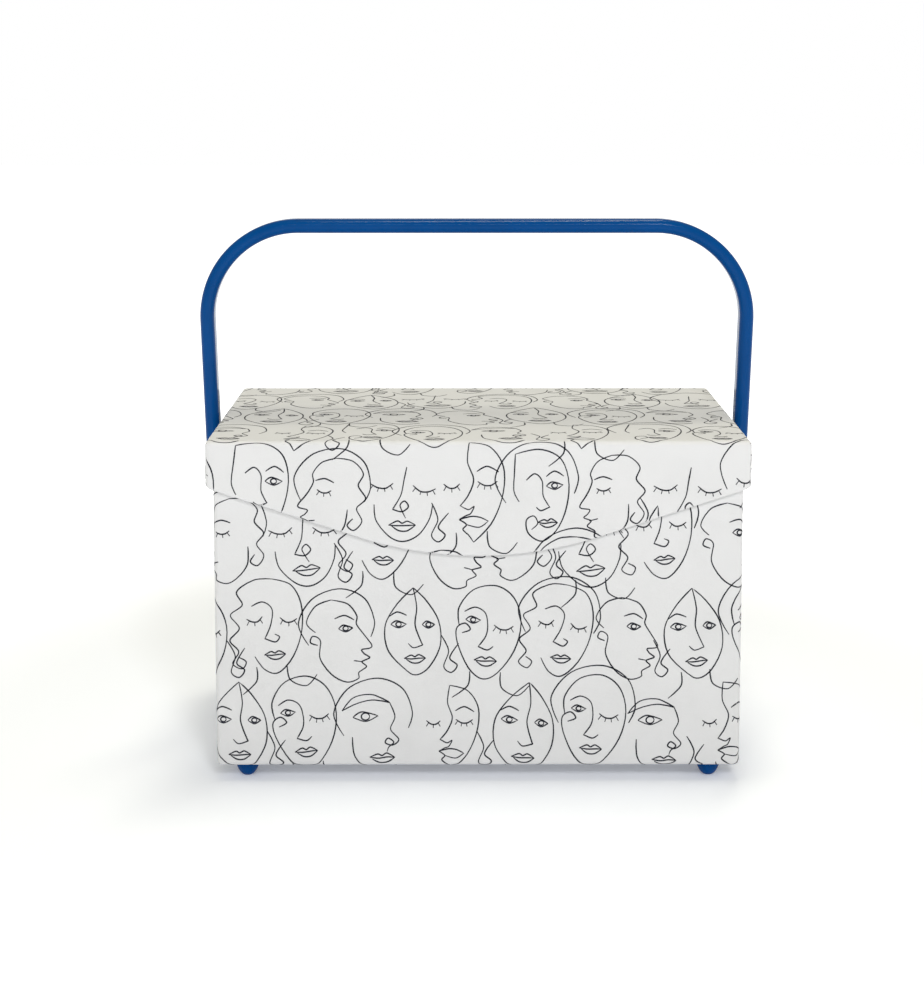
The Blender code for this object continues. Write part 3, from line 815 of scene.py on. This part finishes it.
class Ink:
    """Collects pen strokes as thin closed strips that follow a cloth."""

    def __init__(self, cloth):
        self.cloth = cloth
        self.points, self.faces = [], []

    def stroke(self, line):
        for part in pieces_inside(line, self.cloth.inside):
            length = sum(dist(a, b) for a, b in zip(part, part[1:]))
            if length > SHORTEST_STROKE:
                self.strip(thinned(part, self.cloth.near_fold), length)

    def strip(self, line, length):
        """One closed strip along a line, thinner at its ends and swelling a little on the way."""
        run, first = 0.0, len(self.points)
        for k, here in enumerate(line):
            before, after = line[max(0, k - 1)], line[min(len(line) - 1, k + 1)]
            run += dist(before, here)
            way = Vector((after[0] - before[0], after[1] - before[1])).normalized()
            end = min(run, length - run)
            swell = 0.92 + 0.14 * sin(run / (6 * MM) + 40 * length)
            width = PEN_WIDTH * swell * min(1, 0.62 + 0.38 * max(0, end) / PEN_LIFT)
            side = Vector((-way.y, way.x)) * width / 2
            left, right = Vector(here) + side, Vector(here) - side
            for flat, lift in ((left, INK_LIFT), (right, INK_LIFT), (right, -INK_SUNK), (left, -INK_SUNK)):
                self.points.append(self.cloth.point(flat.x, flat.y, lift))
        last = len(line) - 1
        for k in range(last):
            near, far = first + 4 * k, first + 4 * (k + 1)
            self.faces += [(near + c, near + (c + 1) % 4, far + (c + 1) % 4, far + c) for c in range(4)]
        self.faces.append(tuple(first + c for c in (3, 2, 1, 0)))
        self.faces.append(tuple(first + 4 * last + c for c in range(4)))

    def finish(self, name, look):
        made = make_object(name, self.points, self.faces, look, smooth=False)
        tidy_mesh(made, weld=0)
        return made


def draw_row(ink_on, row, chin, start, columns, up):
    """One row of drawings. chin is the row's foot, and up is 1 where t grows upwards, else -1."""
    wander = 2.5 * MM
    for column in range(columns):
        number = (2 * column + 5 * row + (column // 4)) % len(DRAWINGS)
        middle = start + (column + 0.5 * (row % 2)) * COLUMN_PITCH
        size = FACE_HIGH * (0.96 + 0.07 * sin(1.7 * column + 2.3 * row))
        foot = chin + up * wander * sin(2.9 * column + 1.3 * row)
        tilt = radians(5) * sin(1.1 * column + 0.7 * row)
        for stroke in DRAWINGS[number]() + flourish(column + row):
            placed = []
            for x, y in stroke:
                x, y = x * FACE_STRETCH * size / 100, y * size / 100
                x, y = x * cos(tilt) - y * sin(tilt), x * sin(tilt) + y * cos(tilt)
                placed.append((middle + x, foot + up * y))
            ink_on.stroke(pen_line(placed))


def print_case(case, looks):
    ink_on = Ink(case)
    rows, columns = 4, round(case.round / COLUMN_PITCH)
    start = 0.3 * COLUMN_PITCH
    lowest = case.low.z - 4 * MM  # the lowest row's chins turn under the case
    for row in range(rows):
        draw_row(ink_on, row, lowest + row * ROW_PITCH, start, columns, 1)
    return ink_on.finish("case_print", looks["ink"])


def print_lid(lid, looks):
    ink_on = Ink(lid)
    rows, columns = 6, 10
    start = -4.6 * COLUMN_PITCH
    chin_on_flap = lid.depth + 60 * MM
    for row in range(rows):
        chin = chin_on_flap - (row - 1) * ROW_PITCH
        draw_row(ink_on, row + 2, chin, start, columns, -1)
    return ink_on.finish("lid_print", looks["ink"])


# ---------------------------------------------------------------- soft pieces inside

def make_case_lining(looks):
    low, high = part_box("case_lining")
    edge, corner, below = LINING / 2, 1.0 * MM, 2 * MM
    top = [(edge - x, z) for x, z in arc((0, high.z - edge), edge, 0, 180, 6)]
    profile = [(0, low.z), (0, high.z - below), *top, (LINING, high.z - below), (LINING, low.z)]
    return sleeve("case_lining_cloth", high.x, high.y, corner, profile, looks["lining_cloth"])


def slab(name, low, high, corner, edge, crown, look):
    """A flat pad: round corners, round edges, and a top that swells by crown towards its middle."""
    centre = (low + high) / 2
    half = (high - low) / 2
    rows = []
    for x, z in arc((0, low.z + edge), edge, -90, 0, 5) + arc((0, high.z - edge), edge, 0, 90, 5):
        inset = edge - x
        loop = rounded_loop(half.x - inset, half.y - inset, max(corner - inset, 0.2 * MM))
        rows.append([(centre.x + x, centre.y + y, z) for x, y in loop])
    rim, steps = rows[-1], 8
    for k in range(1, steps + 1):
        share = 1 - k / (steps + 0.5)
        lift = crown * (1 - share**4)
        rows.append([
            (centre.x + (x - centre.x) * share, centre.y + (y - centre.y) * share, high.z + lift)
            for x, y, _ in rim
        ])
    made = loft(name, rows, look, closed_columns=True, caps=True)
    sharpen(made, 50)
    return made


def make_base_pad(looks):
    low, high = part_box("base_pad")
    crown = 0.5 * MM
    high = high - Vector((0, 0, crown))
    return slab("base_pad_cloth", low, high, 1.5 * MM, 1 * MM, crown, looks["lining_cloth"])


def make_base_cover(case, looks):
    low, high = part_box("base_cover")
    turned_in = CASE_FOLD + 2 * GAP
    low = Vector((case.low.x + turned_in, case.low.y + turned_in, low.z))
    high = Vector((case.high.x - turned_in, case.high.y - turned_in, high.z))
    return slab("base_cover_cloth", low, high, 2 * MM, 0.35 * MM, 0, looks["base_cloth"])


# The pincushion's tufts, as shares of its half size.
TUFTS = [(-0.5, -0.5), (0.5, -0.5), (0, 0), (-0.5, 0.5), (0.5, 0.5)]


def make_pincushion(looks):
    """A stuffed cushion, flat against the lid and crowned below, quilted by a grid of sunk tufts."""
    low, high, centre, half = span("pincushion")
    thick = high.z - low.z
    steps = 48
    seam = 3 * MM  # the height of the seam below the lid
    waist = 1.6 * MM  # how far the sides pull in between the corners
    full, tuft_depth, tuft_spread = 0.9, 0.38, 0.022

    def square(u, v, power):
        """1 in the middle, falling to 0 at the edges of a square."""
        return max(0, (1 - abs(u) ** power) * (1 - abs(v) ** power))

    def swell(u, v):
        sunk = sum(exp(-((u - a) ** 2 + (v - b) ** 2) / tuft_spread) for a, b in TUFTS)
        pull = 0.5 + 0.5 * cos(pi * 4 * (u + v)) * cos(pi * 4 * (u - v))
        return square(u, v, 5) ** 0.42 * (full - tuft_depth * sunk + 0.05 * pull)

    def sheet(height):
        """The points of one side. height gives each its distance above the seam."""
        shares = [sin(QUARTER * (2 * k / steps - 1)) for k in range(steps + 1)]
        return [[(
            centre.x + u * (half.x - waist * (1 - v * v) * abs(u) ** 3),
            centre.y + v * (half.y - waist * (1 - u * u) * abs(v) ** 3),
            high.z - seam + height(u, v),
        ) for u in shares] for v in shares]

    lower = sheet(lambda u, v: -(thick - seam) * swell(u, v))
    upper = sheet(lambda u, v: seam * square(u, v, 9) ** 0.5)
    points = [point for rows in (lower, upper) for row in rows for point in row]
    size = (steps + 1) ** 2
    faces = strip_faces(lower) + [tuple(size + k for k in reversed(face)) for face in strip_faces(upper)]
    made = make_object("pincushion_felt", points, faces, looks["felt"])
    tidy_mesh(made)
    return made


def make_tufts(looks):
    """A small covered button sunk in each tuft of the pincushion."""
    low, _, centre, half = span("pincushion")
    z = low.z + 4.6 * MM
    dome = [(0, 0), (1.4, 0.25), (2.3, 0.8), (2.5, 1.4), (1.2, 2), (0, 2.2)]
    profile = [(radius * MM, height * MM) for radius, height in dome]
    for number, (u, v) in enumerate(TUFTS):
        middle = (centre.x + u * half.x, centre.y + v * half.y, z)
        yield turned(f"pincushion_button_{number}", profile, middle, looks["lining_cloth"], steps=20)


def make_pocket(looks):
    """A flat pocket: cloth gathered into its band, smooth at the far edge where it is sewn down."""
    low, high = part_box("lid_pocket")
    wide, long, thick = high.x - low.x, high.y - low.y, high.z - low.z
    across, along = 150, 16
    gathers = 17
    press = 14  # each sewn edge presses one part in so many of the pocket flat

    def point(u, v):
        """u runs along the band, and v from 0 at the band to 1 at the sewn edge."""
        gather = 0.75 * (1 - v) ** 0.9 * sin(tau * (gathers * u + 0.35 * sin(9 * u)))
        belly = 0.55 + 0.45 * sin(pi * min(1, 1.25 * v)) * sin(pi * u) ** 0.5
        sewn = min(1, press * u, press * (1 - u), press * (1 - v))
        depth = thick * (0.28 + sewn * (0.45 * belly + 0.27 * gather))
        return low.x + wide * u, low.y + long * v, high.z - depth

    rows = [[point(k / across, j / along) for k in range(across + 1)] for j in range(along + 1)]
    made = loft("lid_pocket_cloth", rows, looks["lining_cloth"])
    if made.data.polygons[0].normal.z > 0:
        made.data.flip_normals()
    thicken(made, 0.35 * MM)
    return made


def make_pocket_band(looks):
    """The pocket's elastic: a flat band with round edges, rippled by the gathers."""
    low, high, centre, half = span("pocket_band")
    steps, ripples, ripple_high = 200, 34, 0.12 * MM
    corner, support = 0.7 * MM, 0.2 * MM
    loop = rounded_loop(half.y, half.z - 0.2 * MM, corner, 4, support)
    rows = []
    for k in range(steps + 1):
        x = low.x + (high.x - low.x) * k / steps
        ripple = ripple_high * sin(tau * ripples * k / steps)
        rows.append([(x, centre.y + y, centre.z + z + ripple) for y, z in loop])
    made = loft("pocket_band_elastic", rows, looks["elastic"], closed_columns=True, caps=True)
    sharpen(made, 60)
    return made


def make_hinge_tape(looks):
    """A cloth tape folded into the corner between the case's back and the lid."""
    low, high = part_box("hinge_tape")
    fold, thick = 2.5 * MM, 0.4 * MM
    section = [(high.y, low.z + (high.z - fold - low.z) * k / 12) for k in range(12)]
    section += arc((high.y - fold, high.z - fold), fold, 0, 90, 10)
    section += [(high.y - fold - (high.y - fold - low.y) * k / 10, high.z) for k in range(1, 11)]
    steps = 70
    rows = [[(low.x + (high.x - low.x) * k / steps, y, z) for k in range(steps + 1)] for y, z in section]
    made = loft("hinge_tape_cloth", rows, looks["lining_cloth"])
    if made.data.polygons[0].normal.y < 0:
        made.data.flip_normals()
    thicken(made, thick)
    return made


# ---------------------------------------------------------------- hard pieces

def ride_as(obj, body, slot, *nodes):
    """Attaches a piece to the body it rides on, and hides the CAD nodes that it replaces. Its slot is not
    used.
    """
    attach(obj, body)
    if nodes:
        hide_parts(*nodes)


def make_feet(looks):
    """Four moulded domes, each cut flat where it stands, with a bore for its screw."""
    flat, hole, bore_end, chamfer, steps = 3 * MM, 1.8 * MM, 3.5 * MM, 0.5 * MM, 18
    for name in ("front_left_foot", "front_right_foot", "back_left_foot", "back_right_foot"):
        low, high, centre, _ = span(name)
        radius, top = (high.x - low.x) / 2, high.z
        reach = acos(flat / radius)
        turns = [reach * k / steps for k in range(steps + 1)]
        dome = [(radius * cos(t), top - top * sin(t) / sin(reach)) for t in turns]
        bore = [(0, bore_end), (hole, bore_end), (hole, top)]
        profile = [*bore, (radius - chamfer, top), *dome, (0, 0)]
        foot = turned(name + "_moulding", profile, (centre.x, centre.y, 0), looks["blue_plastic"])
        ride_as(foot, "case", "blue_plastic", name)


def head(radius, start, rise, steps=7):
    """A low dome's (radius, place) points from its rim to its crown; rise is signed."""
    turns = [QUARTER * k / steps for k in range(steps)]
    return [*[(radius * cos(t), start + rise * sin(t)) for t in turns], (0, start + rise)]


def rivet_profile(inner, outer, sign, wide):
    shank, chamfer, plate, rise = 1.5 * MM, 0.3 * MM, 0.8 * MM, 1.1 * MM
    rim = outer - sign * rise
    return [
        (0, inner), (wide - chamfer, inner), (wide, inner + sign * chamfer), (wide, inner + sign * plate),
        (shank, inner + sign * plate), (shank, rim), *head(wide, rim, sign * rise),
    ]


def pin_profile(inner, outer, sign, _):
    foot, foot_high, shank, wide, edge, rise = 4.5 * MM, 1.3 * MM, 2.5 * MM, 6 * MM, 0.4 * MM, 1.8 * MM
    rim = outer - sign * (edge + rise)
    return [
        (0, inner), (foot, inner), (foot, inner + sign * foot_high), (shank, inner + sign * foot_high),
        (shank, rim), (wide, rim), *head(wide, rim + sign * edge, sign * rise),
    ]


def make_stud(side, kind, profile_of, body, looks, steps=40):
    """A steel piece turned about X, from its inner end on the box out to its head."""
    name = f"{side}_{kind}"
    low, high, centre, _ = span(name)
    sign = 1 if side == "right" else -1
    inner, outer = (low.x, high.x) if sign > 0 else (high.x, low.x)
    profile = profile_of(inner, outer, sign, (high.z - low.z) / 2)
    made = turned(name + "_turned", profile, (0, centre.y, centre.z), looks["steel"], axis="X", steps=steps)
    ride_as(made, body, "steel", name)


FLIP = Matrix.Scale(-1, 3, (1, 0, 0))  # mirrors left and right


def bow_line(half_width, top, corner, lean, pivot_z, arc_steps=36):
    """The band's middle line from the left pivot up, across and down: (point, outward direction)."""
    centre_x, centre_z = half_width - corner, top - corner
    half = [(Vector((0, 0, top)), Vector((0, 0, 1))), (Vector((centre_x / 2, 0, top)), Vector((0, 0, 1)))]
    for k in range(arc_steps + 1):
        turn = QUARTER - k / arc_steps * (QUARTER + lean)
        outward = Vector((cos(turn), 0, sin(turn)))
        half.append((Vector((centre_x, 0, centre_z)) + corner * outward, outward))
    last, outward = half[-1]
    down = Vector((-sin(lean), 0, -cos(lean)))
    length = (last.z - pivot_z) / -down.z
    half += [(last + down * length * k / 6, outward) for k in range(1, 7)]
    return [(FLIP @ point, FLIP @ outward) for point, outward in reversed(half[1:])] + half, down


def make_bow(looks):
    """The handle: one moulded band with softly crowned faces, and a half disc at the end of each leg."""
    low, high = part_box("handle_bow")
    thick, deep, edge, lean = 9 * MM, high.y - low.y, 3.2 * MM, radians(1.95)
    outer_corner, hole_radius = 62 * MM, 2.8 * MM
    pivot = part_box("left_pivot_pin")
    pivot_z = (pivot[0].z + pivot[1].z) / 2
    inset = thick / 2  # from the band's outside to its middle line
    stations, down = bow_line(high.x - inset, high.z - inset, outer_corner - inset, lean, pivot_z)
    stations = [(point, outward, 1.0) for point, outward in stations]
    last, outward, _ = stations[-1]
    ends = []
    for k in range(1, 13):
        turn = radians(88) * k / 12
        ends.append((last + down * deep / 2 * sin(turn), outward, cos(turn)))
    stations = [(FLIP @ p, FLIP @ o, w) for p, o, w in reversed(ends)] + stations + ends
    crown_u, crown_v = 0.25 * MM, 1.3 * MM  # of the broad faces, and of the narrow ones in front and behind
    outline = []
    for u, v in rounded_loop(thick / 2 - crown_u, deep / 2 - crown_v, edge, 9, 0.5 * MM):
        swell_u = crown_u * (1 - (v / (deep / 2)) ** 2) * copysign(1, u) * min(1, abs(u) / (thick / 4))
        swell_v = crown_v * (1 - (u / (thick / 2)) ** 2) * copysign(1, v)
        outline.append((u + swell_u, v + swell_v))
    rows = [
        [point + outward * u + Vector((0, v * width, 0)) for u, v in outline]
        for point, outward, width in stations
    ]
    made = loft("handle_bow_moulding", rows, looks["blue_plastic"], closed_columns=True, caps=True)
    leg_x = abs(last.x)
    bore = [(0, -15 * MM), (hole_radius, -15 * MM), (hole_radius, 15 * MM), (0, 15 * MM)]
    for x in (-leg_x, leg_x):
        hole = turned("hole", bore, (x, 0, pivot_z), looks["blue_plastic"], axis="X", steps=32)
        modifier = made.modifiers.new("cut", "BOOLEAN")
        modifier.operation = "DIFFERENCE"
        modifier.object = hole
        apply_modifiers(made)
        bpy.data.objects.remove(hole)
    made.data.shade_smooth()
    sharpen(made, 45)
    return made


def soften_node(obj, width):
    """Rounds a CAD node's edges for the eye, without changing its mesh."""
    modifier = obj.modifiers.new("edges", "BEVEL")
    modifier.width = width
    modifier.segments = 3
    modifier.limit_method = "ANGLE"
    modifier.angle_limit = radians(40)
    modifier.harden_normals = True


def dress_nodes(frame, looks):
    """Gives the CAD nodes that stay their materials and softened edges."""
    plan = {
        "greyboard": [
            "base_board", *WALLS, "lid_board", "flap_board", "left_skirt_board", "right_skirt_board",
        ],
        "ledge_wood": ["front_tray_ledge", "back_tray_ledge"],
        "blue_plastic": ["left_handle_bracket", "right_handle_bracket"],
        "nylon": ["left_pivot_washer", "right_pivot_washer"],
        "tray_plastic": ["left_tray", "right_tray"],
        "steel": [
            "closure_plate", "flap_magnet", "front_left_foot_screw", "front_right_foot_screw",
            "back_left_foot_screw", "back_right_foot_screw",
        ],
    }
    widths = {"greyboard": 0.9, "ledge_wood": 0.8, "blue_plastic": 0.7, "tray_plastic": 0.6}
    for look, names in plan.items():
        for name in names:
            obj = frame["nodes"][name]
            obj.data.materials.clear()
            obj.data.materials.append(looks[look])
            if look in widths:
                soften_node(obj, widths[look] * MM)


# ---------------------------------------------------------------- stage, light and camera

def make_floor():
    """A pale floor with a painted glow: faint near the box, where it takes the shadow, and rising towards
    white away from it.
    """
    white = (1, 1, 1, 1)
    pale = Look("floor", 0.9, Specular_IOR_Level=0.0, Base_Color=(0.90, 0.925, 0.99, 1), Emission_Color=white)
    away = node(pale.tree, "ShaderNodeVectorMath", {"operation": "LENGTH"}, Vector=pale.where)
    lift = node(
        pale.tree, "ShaderNodeMapRange", {"interpolation_type": "SMOOTHSTEP"},
        Value=away.outputs["Value"], From_Min=0.3, From_Max=0.8, To_Min=0.13, To_Max=0.9,
    )
    # painted light: the floor glows, least near the box and most far from it
    pale.put(Emission_Strength=lift.outputs["Result"])
    reach = 9.0
    corners = [(-reach, -reach, 0), (reach, -reach, 0), (reach, reach, 0), (-reach, reach, 0)]
    floor = make_object("floor", corners, [(0, 1, 2, 3)], pale.material, smooth=False)


def make_sky():
    """A white studio all round, a little dimmer and warmer overhead."""
    world = bpy.data.worlds.new("studio")
    bpy.context.scene.world = world
    world.use_nodes = True
    tree = world.node_tree
    where = node(tree, "ShaderNodeTexCoord").outputs["Generated"]
    height = node(tree, "ShaderNodeSeparateXYZ", Vector=where).outputs["Z"]
    ramp = node(tree, "ShaderNodeValToRGB", Fac=height)
    stops = ramp.color_ramp.elements
    stops[0].position, stops[0].color = 0.06, (1, 1, 1, 1)
    stops[1].position, stops[1].color = 0.6, (0.35, 0.345, 0.30, 1)
    stops.new(0.14).color = (0.72, 0.72, 0.72, 1)
    tree.links.new(ramp.outputs["Color"], tree.nodes["Background"].inputs["Color"])
    tree.nodes["Background"].inputs["Strength"].default_value = 1.0


def make_light(name, location, target, size, size_y, power, colour=(1, 1, 1)):
    data = bpy.data.lights.new(name, "AREA")
    data.shape = "RECTANGLE"
    data.size, data.size_y = size, size_y
    data.energy, data.color = power, colour
    light = bpy.data.objects.new(name, data)
    bpy.context.scene.collection.objects.link(light)
    light.location = location
    light.rotation_mode = "QUATERNION"
    light.rotation_quaternion = (Vector(location) - Vector(target)).to_track_quat("Z", "Y")


def make_camera():
    data = bpy.data.cameras.new("camera")
    data.lens, data.sensor_width = 67.75, 36
    data.shift_y = -0.20
    data.clip_start, data.clip_end = 0.01, 60
    camera = bpy.data.objects.new("camera", data)
    camera.location = (-0.0119, -1.1816, 0.4109)
    camera.rotation_euler = (radians(90 - 6.38), 0, radians(-0.12))
    bpy.context.scene.collection.objects.link(camera)
    bpy.context.scene.camera = camera


def make_stage():
    make_camera()
    make_floor()
    make_sky()
    middle = (0, 0, 0.12)
    make_light("key", (0.5, -2.15, 1.65), middle, 0.33, 0.33, 13.5)
    make_light("strip_for_handle", (0, -2.15, 1.35), middle, 1.1, 0.04, 7.5)
    make_light("overhead", (0.1, 0.18, 2.3), middle, 0.3, 1.3, 22.5, (1, 0.96, 0.80))
    bpy.context.scene.view_settings.view_transform = "Standard"


# ---------------------------------------------------------------- the whole

def dress_case(case, looks):
    cloth = make_case_cloth(case, looks)
    ride_as(cloth, "case", "printed_cloth", "case_cover")
    drawn = print_case(case, looks)
    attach(drawn, "case")
    lining = make_case_lining(looks)
    ride_as(lining, "case", "lining_cloth", "case_lining")
    pad = make_base_pad(looks)
    ride_as(pad, "case", "lining_cloth", "base_pad")
    under = make_base_cover(case, looks)
    ride_as(under, "case", "base_cloth", "base_cover")
    make_feet(looks)
    for side in ("left", "right"):
        for kind in ("upper_rivet", "lower_rivet"):
            make_stud(side, kind, rivet_profile, "case", looks)


def dress_lid(lid, looks):
    cloth = make_lid_cloth(lid, looks)
    ride_as(cloth, "lid", "printed_cloth", "lid_cover")
    drawn = print_lid(lid, looks)
    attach(drawn, "lid")
    lining = make_lid_lining(lid, looks)
    ride_as(lining, "lid", "lining_cloth", "lid_lining")
    cushion = make_pincushion(looks)
    ride_as(cushion, "lid", "felt", "pincushion")
    for button in make_tufts(looks):
        ride_as(button, "lid", "lining_cloth")
    pocket = make_pocket(looks)
    ride_as(pocket, "lid", "lining_cloth", "lid_pocket")
    band = make_pocket_band(looks)
    ride_as(band, "lid", "elastic", "pocket_band")


def dress_hinge(looks):
    """The tape, folded between the case and the lid, made in place of its CAD node."""
    tape = make_hinge_tape(looks)
    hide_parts("hinge_tape")
    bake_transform(tape)


def main():
    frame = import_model()
    looks = make_looks()
    dress_nodes(frame, looks)
    dress_case(Case(), looks)
    dress_lid(Lid(), looks)
    dress_hinge(looks)
    ride_as(make_bow(looks), "handle", "blue_plastic", "handle_bow")
    for side in ("left", "right"):
        make_stud(side, "pivot_pin", pin_profile, "handle_pins", looks, steps=56)
    make_stage()


main()
